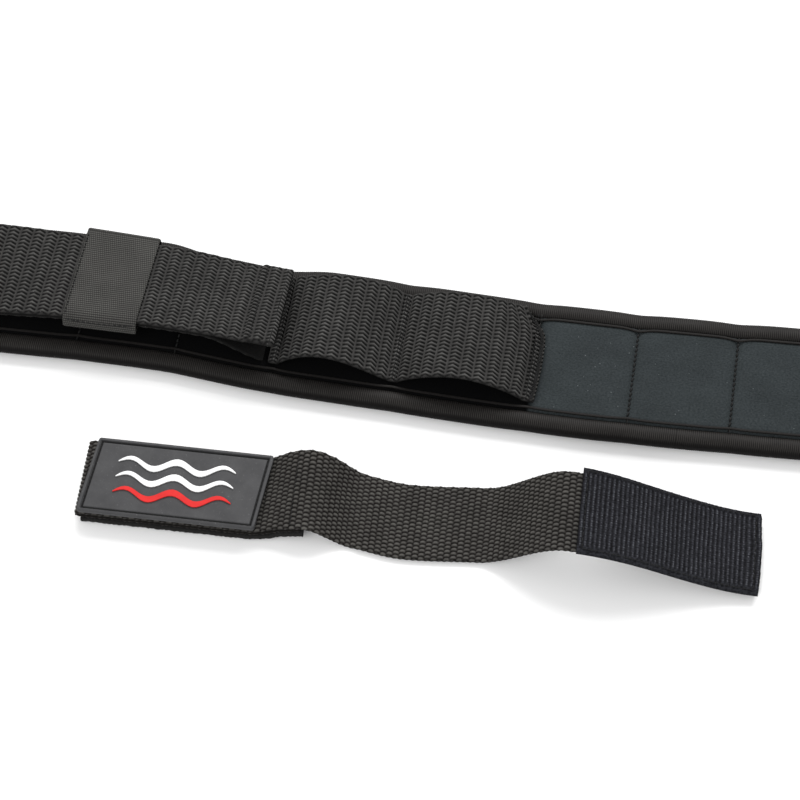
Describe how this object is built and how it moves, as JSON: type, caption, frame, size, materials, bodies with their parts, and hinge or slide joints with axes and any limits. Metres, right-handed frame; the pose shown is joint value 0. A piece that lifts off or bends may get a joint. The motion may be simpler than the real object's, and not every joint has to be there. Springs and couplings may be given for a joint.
{
  "type": "dive weight belt",
  "caption": "Padded dive weight belt with sewn webbing tunnels for weights, sliding keeper loop, cam-lever buckle, free tail and a separate hook-and-loop closing strap.",
  "frame": {"origin": "on the flat back of the pad, on its centre line before the bow, below the webbing between the two left tunnels", "axes": "+X along the belt from the buckle to the free tail, +Y across it away from the loose strap, +Z out of its face"},
  "size_m": [1.0455, 0.1597, 0.029],
  "materials": {
    "neoprene": "matte brushed nylon over neoprene",
    "lining": "matte knit",
    "foam": "closed-cell foam",
    "binding": "ribbed elastic tape, slight sheen",
    "webbing": "herringbone nylon weave",
    "keeper": "fine plain weave",
    "steel": "brushed",
    "steel_lever": "brushed, brighter",
    "strap_webbing": "coarse basket weave",
    "loop_tape": "fuzzy loop pile",
    "hook_tape": "ribbed hook tape",
    "patch_rubber": "matte moulded",
    "emblem_white": "matte moulded",
    "emblem_red": "matte moulded"
  },
  "bodies": {
    "pad_left": {"back_lining_left": "lining", "foam_core_left": "foam", "face_cover_left": "neoprene", "edge_binding_left": "binding", "webbing_left": "webbing"},
    "pad_right": {"back_lining_right": "lining", "foam_core_right": "foam", "face_cover_right": "neoprene", "edge_binding_right": "binding", "webbing_right": "webbing"},
    "tail": {"webbing_tail": "webbing"},
    "keeper": {"keeper_loop": "keeper"},
    "buckle": {"buckle_frame": "steel", "buckle_bar": "steel", "lever_pin": "steel"},
    "lever": {"buckle_lever": "steel_lever"},
    "strap": {"strap_patch_end": "strap_webbing", "loop_tape": "loop_tape", "rubber_patch": "patch_rubber", "emblem_wave_upper": "emblem_white", "emblem_wave_middle": "emblem_white", "emblem_wave_lower": "emblem_red"},
    "strap_hook": {"strap_hook_end": "strap_webbing", "hook_panel": "hook_tape"}
  },
  "joints": [
    {"name": "pad_fold", "type": "hinge", "parent": "pad_left", "child": "pad_right", "pos_m": [0.106, 0, 0.009], "axis": [0, -1, 0], "range_deg": [0, 120]},
    {"name": "tail_bend", "type": "hinge", "parent": "pad_right", "child": "tail", "pos_m": [0.4705, 0.0135, 0.0104], "axis": [0, -1, 0], "range_deg": [0, 120]},
    {"name": "keeper_slide", "type": "slide", "parent": "pad_left", "child": "keeper", "axis": [1, 0, 0], "range_m": [-0.018, 0.018]},
    {"name": "buckle_swivel", "type": "hinge", "parent": "pad_left", "child": "buckle", "pos_m": [-0.292, 0.0022, 0.0085], "axis": [0, 1, 0], "range_deg": [0, 60]},
    {"name": "lever_hinge", "type": "hinge", "parent": "buckle", "child": "lever", "pos_m": [-0.336, 0.0022, 0.0095], "axis": [0, -1, 0], "range_deg": [0, 110]},
    {"name": "strap_slide", "type": "slide", "parent": "pad_left", "child": "strap", "axis": [0, -1, 0], "range_m": [0, 0.08]},
    {"name": "strap_fold", "type": "hinge", "parent": "strap", "child": "strap_hook", "pos_m": [0.03199, -0.08602, 0.0026], "axis": [0.0436, -0.999, 0], "range_deg": [0, 120]}
  ]
}
